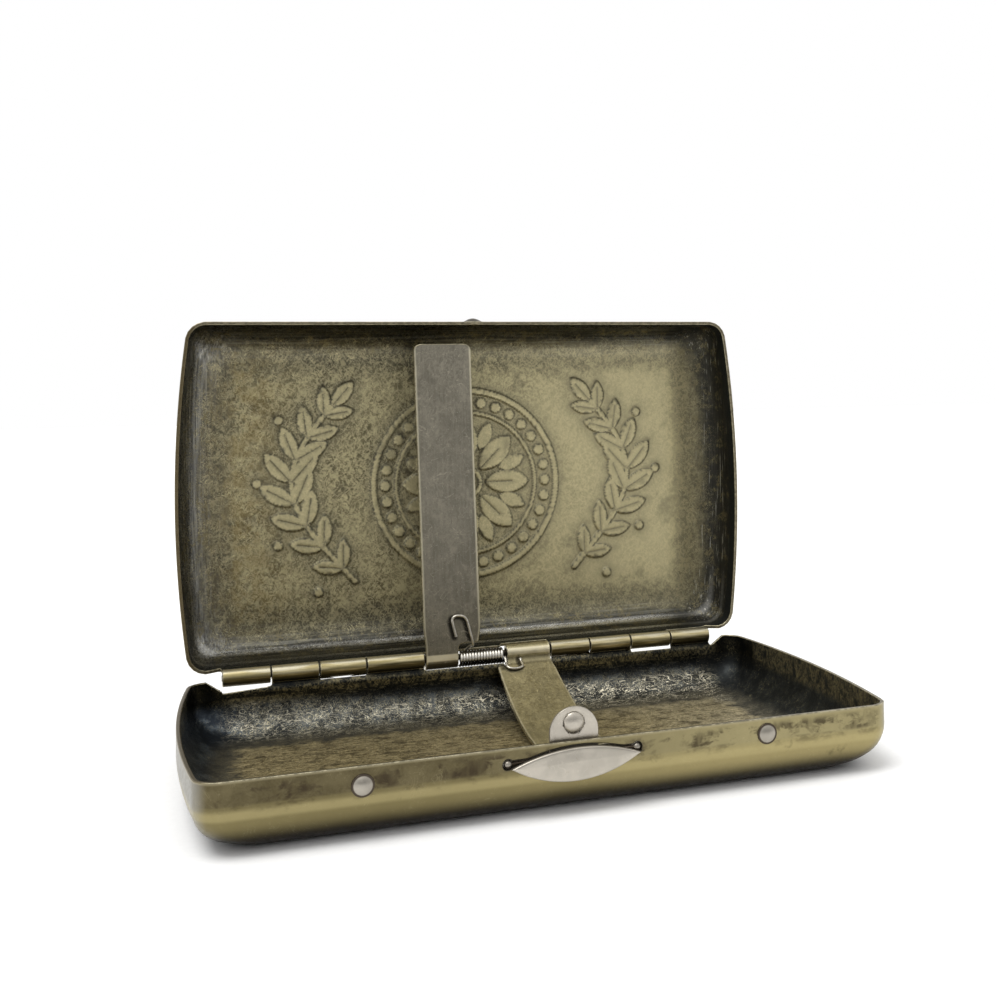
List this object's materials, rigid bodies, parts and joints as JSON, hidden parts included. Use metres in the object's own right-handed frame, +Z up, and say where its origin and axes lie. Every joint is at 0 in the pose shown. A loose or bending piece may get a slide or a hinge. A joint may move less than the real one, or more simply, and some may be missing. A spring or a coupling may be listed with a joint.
{
  "type": "cigar case",
  "caption": "Slim hinged pressed-metal pocket case for smokes, shown open, with sprung holding arms on the hinge pin and a rocker button clasp.",
  "frame": {"origin": "centre of the tray's flat underside", "axes": "+X along the hinge, -Y to the front with the clasp, +Z up; the lid stands open at the back"},
  "size_m": [0.097, 0.0692, 0.0671],
  "materials": {
    "antique_brass": "antiqued brass with a dark worn patina",
    "arm_brass": "antiqued brass, plainer and paler",
    "spring_steel": "bright drawn steel",
    "nickel": "satin nickel plate on steel"
  },
  "bodies": {
    "tray": {"tray_shell": "antique_brass", "hinge_pin": "spring_steel", "arm_spring": "spring_steel", "clasp_pin": "nickel", "clasp_spring": "spring_steel", "clasp_rivet_left": "nickel", "clasp_rivet_right": "nickel"},
    "lid": {"lid_shell": "antique_brass"},
    "lid_arm": {"lid_arm": "arm_brass"},
    "tray_arm": {"tray_arm": "arm_brass"},
    "clasp": {"clasp_button": "nickel", "catch_tongue": "nickel"}
  },
  "joints": [
    {"name": "lid_hinge", "type": "hinge", "parent": "tray", "child": "lid", "pos_m": [0, 0.0288, 0.00975], "axis": [-1, 0, 0], "range_deg": [-92, 86], "deforming": ["arm_spring"]},
    {"name": "lid_arm_hinge", "type": "hinge", "parent": "lid", "child": "lid_arm", "pos_m": [0, 0.0288, 0.00975], "axis": [1, 0, 0], "range_deg": [-7.5, 10], "stiffness_Nm_per_rad": 0.02, "deforming": ["arm_spring"]},
    {"name": "tray_arm_hinge", "type": "hinge", "parent": "tray", "child": "tray_arm", "pos_m": [0, 0.0288, 0.00975], "axis": [-1, 0, 0], "range_deg": [0, 19], "stiffness_Nm_per_rad": 0.02, "springref_deg": -28.65, "deforming": ["arm_spring"]},
    {"name": "clasp_rocker", "type": "hinge", "parent": "tray", "child": "clasp", "pos_m": [0, -0.02772, 0.00775], "axis": [-1, 0, 0], "range_deg": [0, 10], "stiffness_Nm_per_rad": 0.02, "springref_deg": -9.74}
  ]
}
